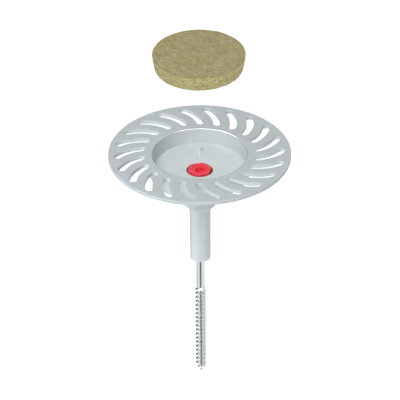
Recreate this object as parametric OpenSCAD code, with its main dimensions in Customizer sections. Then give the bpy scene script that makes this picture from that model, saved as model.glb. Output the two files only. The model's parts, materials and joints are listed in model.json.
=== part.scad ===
// Insulation screw fixing: a slotted plate with a sunk cup and a sleeve, a captive screw with a
// moulded drive head, and a mineral-wool plug for the cup, shown lifted off.
// Millimetres. Z runs along the screw, with z = 0 at the plate's top face and the point below.

/* [Plate] */
// Diameter of the plate
plate_d = 110; // [106:1:120]
// Thickness of the plate's flange
plate_t = 2.4; // [1.4:0.1:2.6]
// Rounding of the plate's outer edge
rim_round = 0.5; // [0.2:0.1:0.6]

/* [Slots] */
// Number of slots round the plate
slot_n = 22; // [12:1:26]
// Width of a slot
slot_w = 4.4; // [2.5:0.1:4.6]
// Solid rim left outside the slots
slot_rim = 3.3; // [2:0.1:5]
// Solid ring left between the slots and the cup's mouth
slot_ring = 4.7; // [3.5:0.1:8]
// Turn of a slot from its inner end to its outer end, in degrees
slot_turn = 12.4; // [6:0.1:16]
// Rise of a slot's curve over its chord
slot_bow = 1.6; // [0.8:0.05:2]
// Angle of the first slot's outer end
slot_start = 3.2; // [0:0.1:16]

/* [Cup] */
// Diameter of the cup's mouth
cup_d = 56.8; // [52:0.2:60]
// Depth of the cup at its wall
cup_depth = 10.2; // [9.6:0.1:14]
// Slope of the cup's wall, in degrees
cup_draft = 4.6; // [1:0.1:6]
// Thickness of the cup's wall
cup_wall = 1.6; // [1.2:0.1:2.4]
// Rounding of the cup's mouth
mouth_round = 0.9; // [0.4:0.1:1.2]
// Rounding between the cup's wall and its floor
floor_round = 0.8; // [0.4:0.1:1.2]
// Fall of the cup's floor from the wall to the drive head
floor_fall = 1.4; // [0:0.1:2]
// Thickness of the cup's floor at the drive head
floor_t = 2.8; // [2:0.1:4]

/* [Barbs] */
// Angles of the barbs that hold the plug
barb_angles = [88, 223, 313];
// Radius at which a barb's low nose starts
barb_nose_r = 10.6; // [10:0.1:12]
// Radius of a barb's point
barb_tip_r = 19.7; // [18:0.1:20.5]
// Radius of a barb's back
barb_back_r = 21.8; // [21:0.1:23]
// Height of a barb over the floor
barb_h = 4.0; // [3:0.1:5]
// Width of a barb at its back
barb_w = 3.8; // [2.4:0.1:4.4]
// Height of a barb's nose ridge where it turns up to the point
barb_nose_h = 1.5; // [0.8:0.1:2]
// Length over which the ridge turns up to the point
barb_turn = 2.8; // [2:0.1:4]

/* [Hub and sleeve] */
// Wall of the hub round the drive head's recess
hub_wall = 2.2; // [1.8:0.1:3]
// Height of the hub from the cup's base to the sleeve
hub_h = 23.8; // [22.6:0.2:30]
// Rounding between the hub and the cup's base
hub_round = 1.5; // [0.5:0.1:3]
// Slope of the shoulder between the hub and the sleeve, in degrees
shoulder_slope = 44; // [35:1:55]
// Rounding between the hub and its shoulder
shoulder_round = 2.5; // [1:0.1:4]
// Rounding of the cup's outer edge at its base
base_round = 0.6; // [0.2:0.1:1]
// Diameter of the sleeve under the hub
sleeve_d = 12.7; // [11.6:0.1:14]
// Diameter of the sleeve at its free end
sleeve_end_d = 12.2; // [10.6:0.1:13]
// Length of the sleeve under the hub
sleeve_len = 35.6; // [20:0.2:50]
// Rounding of the sleeve's free end
sleeve_round = 0.6; // [0.3:0.1:1]
// Clearance of the thread in the sleeve's bore
thread_gap = 0.2; // [0.1:0.05:0.4]

/* [Drive head] */
// Width across the flats of the drive head
head_af = 13.2; // [12:0.1:14]
// Height of the hexagon
head_h = 13.0; // [8:0.2:14]
// Angle of the hexagon's first corner
head_turn = 15.7; // [0:0.1:59]
// Rise of the head over the floor at its recess
head_rise = 0.7; // [0:0.1:0.8]
// Clearance round the hexagon's corners in its recess
head_gap = 0.35; // [0.2:0.05:0.8]
// Diameter of the neck under the hexagon
neck_d = 9.4; // [9:0.1:10]
// Length of the neck
neck_len = 8; // [5:0.2:10]
// Running clearance round the neck
neck_gap = 0.05; // [0.03:0.01:0.1]
// Clearance under the end of the neck
neck_end_gap = 0.5; // [0.3:0.1:1]
// Diameter of the dished seat round the drive socket
dish_d = 9.4; // [8.4:0.1:10.4]
// Depth of the dished seat
dish_depth = 0.6; // [0.3:0.1:0.8]
// Diameter of the drive socket over its lobes
socket_d = 6.75; // [5.6:0.05:7.2]
// Diameter of the drive socket between its lobes
socket_core_d = 5.4; // [4.6:0.1:5.4]
// Diameter of one lobe
lobe_d = 1.7; // [1.4:0.1:2]
// Depth of the drive socket under its seat
socket_depth = 3.2; // [2:0.1:3.4]
// Plastic left between the drive socket and the steel head
socket_web = 0.8; // [0.5:0.1:1.5]

/* [Screw] */
// Diameter of the smooth shank
shank_d = 4.9; // [4.6:0.1:5.4]
// Width across the flats of the steel head inside the drive head
steel_af = 6.6; // [6:0.1:7]
// Height of the steel head
steel_h = 3.4; // [2.5:0.1:4]
// Length of the shank that shows between the sleeve and the thread
shank_out = 20.5; // [10:0.5:60]
// Length of the threaded end with its point
thread_len = 61; // [40:0.5:80]
// Outside diameter of the thread
thread_d = 6.5; // [6:0.1:6.6]
// Core diameter of the thread
core_d = 4.25; // [3.8:0.05:4.5]
// Pitch of the thread
thread_pitch = 2.92; // [2.4:0.02:3.6]
// Length in which the shank narrows to the core and the thread rises
run_in = 1; // [1:0.1:3]
// Length in which the thread fades at the point
run_out = 3; // [2:0.5:8]
// Length of the tapered point
point_len = 5; // [4:0.5:12]
// Length of the point left without a thread
point_bare = 2; // [2:0.5:6]

/* [Plug] */
// Thickness of the plug
plug_t = 9.9; // [7:0.1:9.9]
// Clearance round the plug in the cup's mouth
plug_gap = 0.2; // [0.1:0.05:0.6]
// Slope of the plug's side, in degrees
plug_draft = 9.5; // [5:0.5:11]
// Rounding of the plug's edges
plug_round = 0.6; // [0.3:0.1:1]
// Clearance round a barb in the plug
pocket_gap = 0.3; // [0.2:0.05:0.6]
// Height of the lifted plug over its seat
plug_lift = 70.5; // [20:0.5:90]

/* [Hidden] */
// Segments of a full circle in the round forms
$fn = 96;
// Segments of a quarter round
round_n = 5;
// Overlap that joins or cuts cleanly
eps = 0.5;

plate_r = plate_d / 2;
cup_r = cup_d / 2;
floor_r = cup_r - cup_depth * tan(cup_draft);
cup_out_r = cup_r + cup_wall;

// Head and its recess
head_corner_r = head_af / 2 / cos(30);
recess_r = head_corner_r + head_gap;
hub_r = recess_r + hub_wall;
floor_edge_r = floor_r - floor_round;
floor_z = -cup_depth - floor_fall;
head_z = floor_z + head_rise;
shoulder_z = head_z - head_h;
neck_z = shoulder_z - neck_len;
neck_bore_z = neck_z - neck_end_gap;
base_z = floor_z - floor_t;
socket_z = head_z - dish_depth - socket_depth;

// Places of the sleeve, the screw and the thread along the axis
sleeve_z = base_z - hub_h;
sleeve_end_z = sleeve_z - sleeve_len;
steel_z = socket_z - socket_web;
shank_z = steel_z - steel_h;
thread_z = sleeve_end_z - shank_out;
point_z = thread_z - thread_len;

// Slot ends and the arc between them
slot_in_r = cup_r + slot_ring + slot_w / 2;
slot_out_r = plate_r - slot_rim - slot_w / 2;

// Stations round one turn of the thread
thread_n = 20;
// Outline of the thread's ridge, as [share of the pitch, share of the height]
thread_ridge = [[0, 0], [0.16, 1], [0.21, 1], [0.37, 0]];
ridge_k = len(thread_ridge);
// Depth at which the thread starts under the shank
thread_top = 0.4;
thread_turns = floor((thread_len - thread_top - point_bare) / thread_pitch);
thread_end = thread_top + thread_pitch * (thread_turns + thread_ridge[ridge_k - 1][0]);
stations = thread_turns * thread_n;
// Radius of the blunt tip
tip_r = 0.3;
// Sink of the shank's cone into the core
cone_sink = 0.1;

// Lobes of the drive socket
lobe_n = 6;

// Height of the floor at a radius
function floor_at(r) = -cup_depth - floor_fall * (floor_edge_r - r) / (floor_edge_r - recess_r);

// Points of a round from one angle to another about a centre
function arc(centre, r, from, to) =
    [for (i = [0:round_n])
        let (a = from + (to - from) * i / round_n)
        centre + r * [cos(a), sin(a)]];

// Point at a radius and an angle
function polar(r, a) = r * [cos(a), sin(a)];

module washer_plate() {
    color([0.73, 0.76, 0.77])
    union() {
        difference() {
            rotate_extrude() plate_section();
            for (i = [0:slot_n - 1])
                rotate(slot_start + i * 360 / slot_n) slot_cut();
        }
        for (a = barb_angles)
            rotate(a) barb();
    }
}

// Height of the centre of the round between the hub and its shoulder, which runs to the sleeve's top
function shoulder_centre_z() =
    let (run = hub_r - shoulder_round - sleeve_d / 2)
    sleeve_z + (run * sin(shoulder_slope) + shoulder_round) / cos(shoulder_slope);

// Half section of the moulding, from the cup's mouth round the flange to the sleeve and the bore
module plate_section() {
    neck_bore_r = neck_d / 2 + neck_gap;
    bore_r = thread_d / 2 + thread_gap;
    shoulder = [hub_r - shoulder_round, shoulder_centre_z()];
    polygon(concat(
        arc([cup_r + mouth_round, -mouth_round], mouth_round, 180, 90),
        arc([plate_r - rim_round, -rim_round], rim_round, 90, 0),
        arc([plate_r - rim_round, -plate_t + rim_round], rim_round, 0, -90),
        [
            [cup_out_r, -plate_t]
        ],
        arc([cup_out_r - base_round, base_z + base_round], base_round, 0, -90),
        arc([hub_r + hub_round, base_z - hub_round], hub_round, 90, 180),
        arc(shoulder, shoulder_round, 0, shoulder_slope - 90),
        [
            [sleeve_d / 2, sleeve_z]
        ],
        arc([sleeve_end_d / 2 - sleeve_round, sleeve_end_z + sleeve_round], sleeve_round, 0, -90),
        [
            [bore_r, sleeve_end_z],
            [bore_r, neck_bore_z],
            [neck_bore_r, neck_bore_z],
            [neck_bore_r, shoulder_z],
            [recess_r, shoulder_z],
            [recess_r, floor_z]
        ],
        arc([floor_edge_r, -cup_depth + floor_round], floor_round, -90, 0)
    ));
}

// One swirl slot, its outer end on the X axis
module slot_cut() {
    outer = [slot_out_r, 0];
    inner = polar(slot_in_r, -slot_turn);
    chord = norm(outer - inner);
    bend_r = (chord * chord / 4 + slot_bow * slot_bow) / (2 * slot_bow);
    half = asin(chord / 2 / bend_r);
    heading = atan2(outer[1] - inner[1], outer[0] - inner[0]);
    middle = (outer + inner) / 2;
    centre = middle + (bend_r - slot_bow) * polar(1, heading + 90);
    translate([0, 0, -plate_t - eps])
        linear_extrude(plate_t + 2 * eps) {
            intersection() {
                translate(centre) difference() {
                    circle(bend_r + slot_w / 2);
                    circle(bend_r - slot_w / 2);
                }
                polygon([
                    centre,
                    centre + polar(2 * bend_r, heading - 90 - half),
                    centre + polar(2 * bend_r, heading - 90 + half)
                ]);
            }
            translate(outer) circle(d = slot_w);
            translate(inner) circle(d = slot_w);
        }
}

// Point of a barb at a radius, a side step and a height over the floor
function barb_point(r, side, h) = [r, side, floor_at(r) + h];

// A barb that stands on the floor along the X axis: a low nose ridge that turns up to a point
module barb() {
    half_w = barb_w / 2;
    polyhedron(
        points = [
            barb_point(barb_nose_r, 0, 0),
            barb_point(barb_back_r, -half_w, 0),
            barb_point(barb_back_r, half_w, 0),
            barb_point(barb_tip_r - barb_turn, 0, barb_nose_h),
            barb_point(barb_tip_r, 0, barb_h),
            barb_point(barb_nose_r, 0, -eps),
            barb_point(barb_back_r, -half_w, -eps),
            barb_point(barb_back_r, half_w, -eps)
        ],
        faces = [
            [0, 3, 1], [3, 4, 1],
            [0, 2, 3], [3, 2, 4],
            [1, 4, 2],
            [5, 0, 1, 6], [6, 1, 2, 7], [7, 2, 0, 5],
            [5, 6, 7]
        ]
    );
}

module drive_head() {
    color([0.90, 0.15, 0.20])
    difference() {
        union() {
            translate([0, 0, shoulder_z]) rotate(head_turn) hexagon(head_af, head_h);
            translate([0, 0, neck_z]) cylinder(h = neck_len + eps, d = neck_d);
        }
        translate([0, 0, head_z - dish_depth]) cylinder(h = dish_depth + eps, d = dish_d);
        translate([0, 0, socket_z]) drive_socket();
        translate([0, 0, shank_z]) rotate(head_turn) hexagon(steel_af, steel_h);
        translate([0, 0, neck_z - eps]) cylinder(h = shank_z - neck_z + 2 * eps, d = shank_d);
    }
}

// Six-sided bar standing on z = 0, with a corner on the X axis
module hexagon(flats, h) {
    cylinder(h = h, d = flats / cos(30), $fn = 6);
}

// Six-lobe socket, open upwards
module drive_socket() {
    linear_extrude(socket_depth + eps) {
        circle(d = socket_core_d);
        for (i = [0:lobe_n - 1])
            translate(polar((socket_d - lobe_d) / 2, i * 360 / lobe_n)) circle(d = lobe_d);
    }
}

module screw() {
    color([0.78, 0.79, 0.80])
    union() {
        translate([0, 0, shank_z]) rotate(head_turn) hexagon(steel_af, steel_h);
        rotate_extrude() shank_section();
        threaded_end();
    }
}

// Half section of the shank, from its cone inside the thread's core up into the steel head
module shank_section() {
    polygon([
        [0, thread_z - run_in],
        [core_d / 2 - cone_sink, thread_z - run_in],
        [shank_d / 2, thread_z],
        [shank_d / 2, shank_z + eps],
        [0, shank_z + eps]
    ]);
}

// Core radius at a depth under the shank
function core_at(depth) =
    depth > thread_len - point_len ?
        tip_r + (core_d / 2 - tip_r) * (thread_len - depth) / point_len :
        core_d / 2;

// Share of the full thread height at a depth, which runs in at the top and out at the point
function thread_share(depth) =
    max(0, min(1, (depth - thread_top) / run_in, (thread_end - depth) / run_out));

// Point of the ridge at a station along the helix
function thread_point(s, k) =
    let (
        depth = thread_top + thread_pitch * (s / thread_n + thread_ridge[k][0]),
        ridge = (thread_d - core_d) / 2 * thread_ridge[k][1] * thread_share(depth),
        a = -360 * s / thread_n
    )
    concat(polar(core_at(depth) + ridge, a), [thread_z - depth]);

// Right-handed thread with its core and point, as one swept mesh from a ring inside the shank to the tip
module threaded_end() {
    n = thread_n;
    rows = stations + 1;
    top = rows * ridge_k;
    tip = top + n;
    points = concat(
        [for (s = [0:stations], k = [0:ridge_k - 1]) thread_point(s, k)],
        [for (i = [0:n - 1]) concat(polar(core_d / 2, -360 * i / n), [thread_z + eps])],
        [for (i = [0:n - 1]) concat(polar(tip_r, -360 * i / n), [point_z])]
    );
    ridge_faces =
        [for (s = [0:stations - 1], k = [0:ridge_k - 2])
            [at(s, k), at(s, k + 1), at(s + 1, k + 1), at(s + 1, k)]];
    root_faces =
        [for (s = [0:stations - n - 1])
            [at(s, ridge_k - 1), at(s + n, 0), at(s + n + 1, 0), at(s + 1, ridge_k - 1)]];
    top_faces =
        [for (i = [0:n - 2]) [top + i, at(i, 0), at(i + 1, 0), top + i + 1]];
    tip_faces =
        [for (i = [1:n - 1])
            let (s = stations - n + i)
            [at(s, ridge_k - 1), tip + i, tip + (i + 1) % n, at(s + 1, ridge_k - 1)]];
    polyhedron(
        points = points,
        faces = concat(
            ridge_faces,
            root_faces,
            top_faces,
            tip_faces,
            fan(at(n - 1, 0), concat(
                [at(n, 0)],
                [for (k = [ridge_k - 1:-1:0]) at(0, k)],
                [top, top + n - 1])),
            fan(at(stations - n + 1, ridge_k - 1), concat(
                [at(stations - n, ridge_k - 1)],
                [for (k = [0:ridge_k - 1]) at(stations, k)],
                [tip, tip + 1])),
            [[for (i = [0:n - 1]) top + i]],
            [[for (i = [n - 1:-1:0]) tip + i]]
        )
    );
}

// Index of a ridge point
function at(s, k) = s * ridge_k + k;

// Triangles from one point to each pair of neighbours in a row
function fan(hub, row) = [for (i = [0:len(row) - 2]) [hub, row[i], row[i + 1]]];

module wool_plug() {
    color([0.66, 0.62, 0.44])
    translate([0, 0, plug_lift])
    difference() {
        rotate_extrude() plug_section();
        for (a = barb_angles)
            rotate(a) barb_pocket();
    }
}

// Half section of the plug, its top flush with the plate
module plug_section() {
    top_r = cup_r - plug_gap;
    end_r = top_r - plug_t * tan(plug_draft);
    polygon(concat(
        [[0, 0]],
        arc([top_r - plug_round, -plug_round], plug_round, 90, 0),
        arc([end_r - plug_round, -plug_t + plug_round], plug_round, 0, -90),
        [[0, -plug_t]]
    ));
}

// Room for a barb in the plug's underside, where the real wool parts round it
module barb_pocket() {
    top_z = floor_at(barb_tip_r) + barb_h + pocket_gap;
    front_r = barb_tip_r - 2 * barb_turn;
    back_r = barb_back_r + pocket_gap;
    half_w = barb_w / 2 + pocket_gap;
    translate([front_r, -half_w, -plug_t - eps])
        cube([back_r - front_r, 2 * half_w, top_z + plug_t + eps]);
}

washer_plate();
drive_head();
screw();
wool_plug();
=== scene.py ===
import json
import math
import random

import bmesh
import bpy
from mathutils import Matrix, Vector, noise
from mathutils.geometry import delaunay_2d_cdt

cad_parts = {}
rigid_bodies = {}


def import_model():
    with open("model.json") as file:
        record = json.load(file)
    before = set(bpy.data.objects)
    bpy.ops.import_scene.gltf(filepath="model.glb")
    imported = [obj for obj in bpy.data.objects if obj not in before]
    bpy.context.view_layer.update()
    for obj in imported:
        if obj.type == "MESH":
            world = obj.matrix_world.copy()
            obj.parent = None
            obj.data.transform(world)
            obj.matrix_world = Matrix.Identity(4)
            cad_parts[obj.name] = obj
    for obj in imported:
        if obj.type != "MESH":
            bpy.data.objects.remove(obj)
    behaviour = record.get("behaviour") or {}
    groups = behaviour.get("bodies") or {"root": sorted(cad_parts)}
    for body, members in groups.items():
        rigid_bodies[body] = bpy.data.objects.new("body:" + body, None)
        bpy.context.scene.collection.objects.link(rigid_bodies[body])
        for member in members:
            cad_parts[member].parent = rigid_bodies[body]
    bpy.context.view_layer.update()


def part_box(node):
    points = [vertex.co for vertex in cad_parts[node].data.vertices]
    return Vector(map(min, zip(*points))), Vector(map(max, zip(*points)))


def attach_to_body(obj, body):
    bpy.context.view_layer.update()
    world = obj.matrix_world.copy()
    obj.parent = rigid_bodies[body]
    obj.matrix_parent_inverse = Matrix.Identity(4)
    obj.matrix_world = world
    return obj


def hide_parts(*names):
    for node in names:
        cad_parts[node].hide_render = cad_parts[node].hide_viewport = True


# The looks of an insulation screw fixing: a slotted pressure plate with a cup and a sleeve, a red
# drive head, a zinc-plated screw and a mineral-wool plug. Lengths are in millimetres in the frame's
# axes, and MM turns them into metres. Z runs along the screw, with z = 0 at the plate's top face.
MM = 0.001
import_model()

plate_low, plate_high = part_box("washer_plate")
head_low, head_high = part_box("drive_head")
screw_low, screw_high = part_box("screw")
plug_low, plug_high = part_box("wool_plug")

# Plate
PLATE_R = plate_high.x / MM
PLATE_T = 2.4
RIM_ROUND = 0.5
EDGE_ROUND = 0.25
SLOT_N = 22
SLOT_W = 4.4
SLOT_RIM = 3.3
SLOT_RING = 4.7
SLOT_TURN = math.radians(12.4)
SLOT_BOW = 1.6
SLOT_START = math.radians(3.2)

# Cup
CUP_R = 28.4
CUP_DEPTH = 10.2
CUP_DRAFT = math.radians(4.6)
CUP_WALL = 1.6
MOUTH_ROUND = 0.9
FLOOR_ROUND = 0.3
FLOOR_FALL = 1.4
FLOOR_T = 2.8
FLOOR_R = CUP_R - CUP_DEPTH * math.tan(CUP_DRAFT)
FLOOR_EDGE_R = FLOOR_R - FLOOR_ROUND
FLOOR_Z = -CUP_DEPTH - FLOOR_FALL
BASE_Z = FLOOR_Z - FLOOR_T
CUP_OUT_R = CUP_R + CUP_WALL
CUP_FILLET = 0.4
BASE_ROUND = 0.6

# Barbs
BARB_ANGLES = [math.radians(a) for a in (88, 223, 313)]
BARB_NOSE_R = 10.6
BARB_TIP_R = 19.7
BARB_BACK_R = 21.8
BARB_H = 4.0
BARB_W = 3.8
BARB_NOSE_H = 1.5
BARB_TURN = 2.8
BARB_SINK = 0.3
BARB_BEVEL = 0.12

# Drive head and its recess
HEAD_AF = 13.2
HEAD_TURN = math.radians(15.7)
HEAD_GAP = 0.35
HEAD_CORNER = 0.5
HEAD_EDGE = 0.45
HEAD_Z = head_high.z / MM
HEAD_H = 13.0
NECK_D = 9.4
NECK_GAP = 0.05
NECK_END_Z = head_low.z / MM
NECK_END_GAP = 0.5
DISH_D = 9.4
DISH_DEPTH = 0.6
HEAD_LIP = 0.15
SOCKET_D = 6.75
SOCKET_CORE_D = 5.4
SOCKET_DEPTH = 3.2
LOBE_D = 1.7
LOBE_N = 6
RECESS_R = HEAD_AF / 2 / math.cos(math.radians(30)) + HEAD_GAP
RECESS_EDGE = 0.2
SHOULDER_Z = HEAD_Z - HEAD_H
SOCKET_Z = HEAD_Z - DISH_DEPTH - SOCKET_DEPTH

# Hub and sleeve
HUB_WALL = 2.2
HUB_R = RECESS_R + HUB_WALL
HUB_H = 23.8
HUB_ROUND = 1.5
SHOULDER_SLOPE = math.radians(44)
SHOULDER_ROUND = 2.5
SLEEVE_R = 6.35
SLEEVE_END_R = 6.1
SLEEVE_ROUND = 0.6
SLEEVE_Z = BASE_Z - HUB_H
SLEEVE_END_Z = plate_low.z / MM

# Screw
SHANK_R = 2.45
STEEL_AF = 6.6
STEEL_Z = screw_high.z / MM
STEEL_H = 3.4
STEEL_CORNER = 0.2
STEEL_BASE_Z = STEEL_Z - STEEL_H
THREAD_LEN = 61.0
THREAD_R = 3.25
THREAD_GAP = 0.2
BORE_R = THREAD_R + THREAD_GAP
CORE_R = 2.125
PITCH = 2.92
RUN_IN = 1.0
RUN_OUT = 3.0
POINT_LEN = 5.0
POINT_BARE = 2.0
TIP_R = 0.3
TIP_Z = screw_low.z / MM
THREAD_Z = TIP_Z + THREAD_LEN
THREAD_TOP = 0.4

# Plug
PLUG_TOP_R = plug_high.x / MM
PLUG_TOP_Z = plug_high.z / MM
PLUG_BOTTOM_Z = plug_low.z / MM
PLUG_T = PLUG_TOP_Z - PLUG_BOTTOM_Z
PLUG_DRAFT = math.radians(9.5)
PLUG_ROUND = 0.6
POCKET_GAP = 0.3
POCKET_SPREAD = 0.8
PLUG_MIDDLE_R = 0.2
FIBRE_TURN = math.radians(-45)

# Points round the turned forms, the thread and the plug
ROUND_N = 240
THREAD_N = 72
PLUG_N = 320

random.seed(7)


# Mesh tools

def arc(centre, radius, start, end, steps=6):
    """Points of a round in a section, from one angle in degrees to another."""
    points = []
    for i in range(steps + 1):
        a = math.radians(start + (end - start) * i / steps)
        points.append((centre[0] + radius * math.cos(a), centre[1] + radius * math.sin(a)))
    return points


def ring(radius_at, z, n=ROUND_N):
    """Points round the axis at a height, at a fixed radius or at one that depends on the angle."""
    points = []
    for i in range(n):
        a = 2 * math.pi * i / n
        r = radius_at(a) if callable(radius_at) else radius_at
        points.append((r * math.cos(a), r * math.sin(a), z))
    return points


def add_rings(bm, rings, cap_start=False, cap_end=False):
    """Joins rings of equal count by faces, and closes the first and last where asked."""
    loops = [[bm.verts.new(p) for p in points] for points in rings]
    for one, two in zip(loops, loops[1:]):
        n = len(one)
        for i in range(n):
            bm.faces.new((one[i], one[(i + 1) % n], two[(i + 1) % n], two[i]))
    if cap_start:
        bm.faces.new(loops[0])
    if cap_end:
        bm.faces.new(loops[-1])


def add_lathe(bm, section, cap_start=False, cap_end=False):
    """Turns a section of (radius, height) points round the axis."""
    add_rings(bm, [ring(r, z) for r, z in section], cap_start, cap_end)


def finish_mesh(bm, name, materials, sharp=38, weld=0.002):
    """Welds a mesh made in millimetres, and makes it a smooth-shaded object in metres."""
    bmesh.ops.remove_doubles(bm, verts=bm.verts, dist=weld)
    bmesh.ops.dissolve_degenerate(bm, edges=bm.edges, dist=weld / 2)
    bmesh.ops.recalc_face_normals(bm, faces=bm.faces)
    bmesh.ops.scale(bm, vec=(MM, MM, MM), verts=bm.verts)
    mesh = bpy.data.meshes.new(name)
    bm.to_mesh(mesh)
    bm.free()
    mesh.shade_smooth()
    mesh.set_sharp_from_angle(angle=math.radians(sharp))
    for material in materials:
        mesh.materials.append(material)
    obj = bpy.data.objects.new(name, mesh)
    bpy.context.scene.collection.objects.link(obj)
    return obj


def weigh_normals(obj):
    """Keeps flat faces flat beside small rounds."""
    modifier = obj.modifiers.new("weighted_normals", "WEIGHTED_NORMAL")
    modifier.keep_sharp = True


def attach(obj, node, body):
    """Puts a piece in the place of a CAD node, on its body."""
    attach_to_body(obj, body)
    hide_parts(node)


# Material tools

def new_material(name):
    """A material with its node tree and its Principled shader."""
    material = bpy.data.materials.new(name)
    material.use_nodes = True
    return material, material.node_tree, material.node_tree.nodes["Principled BSDF"]


def place(tree, stretch=(1, 1, 1), turn=(0, 0, 0)):
    """Object coordinates, turned and then stretched."""
    coordinates = tree.nodes.new("ShaderNodeTexCoord")
    turned = tree.nodes.new("ShaderNodeMapping")
    turned.inputs["Rotation"].default_value = turn
    scaled = tree.nodes.new("ShaderNodeMapping")
    scaled.inputs["Scale"].default_value = stretch
    tree.links.new(coordinates.outputs["Object"], turned.inputs["Vector"])
    tree.links.new(turned.outputs["Vector"], scaled.inputs["Vector"])
    return scaled.outputs["Vector"]


def swirl(tree, where, reach, size):
    """Coordinates shifted by a slow noise, so that what lies along them bends."""
    node = tree.nodes.new("ShaderNodeTexNoise")
    node.inputs["Scale"].default_value = 1 / (size * MM)
    tree.links.new(where, node.inputs["Vector"])
    centred = tree.nodes.new("ShaderNodeVectorMath")
    centred.operation = "SUBTRACT"
    centred.inputs[1].default_value = (0.5, 0.5, 0.5)
    tree.links.new(node.outputs["Color"], centred.inputs[0])
    shifted = tree.nodes.new("ShaderNodeVectorMath")
    shifted.operation = "MULTIPLY_ADD"
    shifted.inputs[1].default_value = (reach * MM, reach * MM, reach * MM)
    tree.links.new(centred.outputs["Vector"], shifted.inputs[0])
    tree.links.new(where, shifted.inputs[2])
    return shifted.outputs["Vector"]


def from_axis(tree):
    """Distance from the screw's axis in millimetres."""
    node = tree.nodes.new("ShaderNodeVectorMath")
    node.operation = "LENGTH"
    tree.links.new(place(tree, stretch=(1, 1, 0)), node.inputs[0])
    return calculate(tree, "DIVIDE", node.outputs["Value"], MM)


def grain(tree, where, size, detail=3.0, roughness=0.55):
    """Noise whose features are about size millimetres."""
    node = tree.nodes.new("ShaderNodeTexNoise")
    node.inputs["Scale"].default_value = 1 / (size * MM)
    node.inputs["Detail"].default_value = detail
    node.inputs["Roughness"].default_value = roughness
    tree.links.new(where, node.inputs["Vector"])
    return node.outputs["Fac"]


def ramp(tree, value, stops):
    """Colours set against a value, as (position, colour) stops."""
    node = tree.nodes.new("ShaderNodeValToRGB")
    elements = node.color_ramp.elements
    while len(elements) < len(stops):
        elements.new(0.5)
    for element, (position, colour) in zip(elements, stops):
        element.position = position
        element.color = (*colour, 1)
    tree.links.new(value, node.inputs["Fac"])
    return node.outputs["Color"]


def span(tree, value, low, high, to_low=0.0, to_high=1.0):
    """Maps a value's range onto another, and clamps it."""
    node = tree.nodes.new("ShaderNodeMapRange")
    node.inputs["From Min"].default_value = low
    node.inputs["From Max"].default_value = high
    node.inputs["To Min"].default_value = to_low
    node.inputs["To Max"].default_value = to_high
    tree.links.new(value, node.inputs["Value"])
    return node.outputs["Result"]


def blend_colours(tree, factor, one, two, mode="MIX"):
    """Mixes two colours, each a socket or a value."""
    node = tree.nodes.new("ShaderNodeMix")
    node.data_type = "RGBA"
    node.blend_type = mode
    for key, value in ((0, factor), (6, one), (7, two)):
        if isinstance(value, bpy.types.NodeSocket):
            tree.links.new(value, node.inputs[key])
        elif key == 0:
            node.inputs[key].default_value = value
        else:
            node.inputs[key].default_value = (*value, 1)
    return node.outputs[2]


def calculate(tree, operation, one, two):
    """Arithmetic on two values, each a socket or a number."""
    node = tree.nodes.new("ShaderNodeMath")
    node.operation = operation
    for key, value in ((0, one), (1, two)):
        if isinstance(value, bpy.types.NodeSocket):
            tree.links.new(value, node.inputs[key])
        else:
            node.inputs[key].default_value = value
    return node.outputs["Value"]


def product(tree, first, *others):
    """Product of values, each a socket or a number."""
    for other in others:
        first = calculate(tree, "MULTIPLY", first, other)
    return first


def largest(tree, first, *others):
    """The largest of some values, each a socket or a number."""
    for other in others:
        first = calculate(tree, "MAXIMUM", first, other)
    return first


# Range that most of a noise's values lie in
NOISE_LOW = 0.3
NOISE_HIGH = 0.7


def two_tone(tree, noise_value, dark, light):
    """Colours from dark to light with a noise."""
    return ramp(tree, noise_value, [(NOISE_LOW, dark), (NOISE_HIGH, light)])


def speckle(tree, colour, noise_value, level):
    """A colour that a noise dims, down to a level."""
    shade = two_tone(tree, noise_value, (level, level, level), (1, 1, 1))
    return blend_colours(tree, 1.0, colour, shade, "MULTIPLY")


def vary_roughness(tree, shader, noise_value, low, high):
    """Roughness between two values with a noise."""
    roughness = span(tree, noise_value, NOISE_LOW, NOISE_HIGH, low, high)
    tree.links.new(roughness, shader.inputs["Roughness"])


def emboss(tree, shader, heights):
    """Bump from (value, depth in millimetres) pairs, one on the other."""
    normal = None
    for value, depth in heights:
        node = tree.nodes.new("ShaderNodeBump")
        node.inputs["Distance"].default_value = depth * MM
        tree.links.new(value, node.inputs["Height"])
        if normal:
            tree.links.new(normal, node.inputs["Normal"])
        normal = node.outputs["Normal"]
    tree.links.new(normal, shader.inputs["Normal"])


# Materials

# Finishes of the plate, as (name, light tone, dark tone, depth of the grain in millimetres, roughness, coat)
PLATE_FINISHES = [
    # The grained finish's tone, darker than the smooth one's, is painted shade on the flange's faces and rim;
    # their grain and roughness are the moulding's own
    ("plate_grained_painted_shade", (0.515, 0.567, 0.583), (0.485, 0.534, 0.55), 0.03, 0.5, 0.0),
    ("plate_smooth", (0.635, 0.689, 0.702), (0.605, 0.657, 0.669), 0.006, 0.3, 0.0),
    ("plate_polished", (0.42, 0.458, 0.47), (0.40, 0.437, 0.449), 0.003, 0.2, 1.0),
    # The barbs' paler tone is painted light on their faces
    ("plate_barb_painted_light", (0.77, 0.835, 0.85), (0.75, 0.813, 0.828), 0.003, 0.3, 0.0),
]


def plate_material(name, light, dark, grain_depth, roughness, coat):
    """Light grey moulded plastic: faint flow clouding and a moulded grain."""
    material, tree, shader = new_material(name)
    shader.inputs["Coat Weight"].default_value = coat
    shader.inputs["Coat IOR"].default_value = 3.0
    shader.inputs["Coat Roughness"].default_value = 0.12
    where = place(tree)
    clouds = grain(tree, where, size=9, detail=2)
    grit = grain(tree, where, size=0.45, detail=4, roughness=0.7)
    base = two_tone(tree, clouds, dark, light)
    tree.links.new(speckle(tree, base, grit, 0.94), shader.inputs["Base Color"])
    vary_roughness(tree, shader, grit, roughness - 0.05, roughness + 0.05)
    emboss(tree, shader, [(grit, grain_depth)])
    return material
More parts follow.
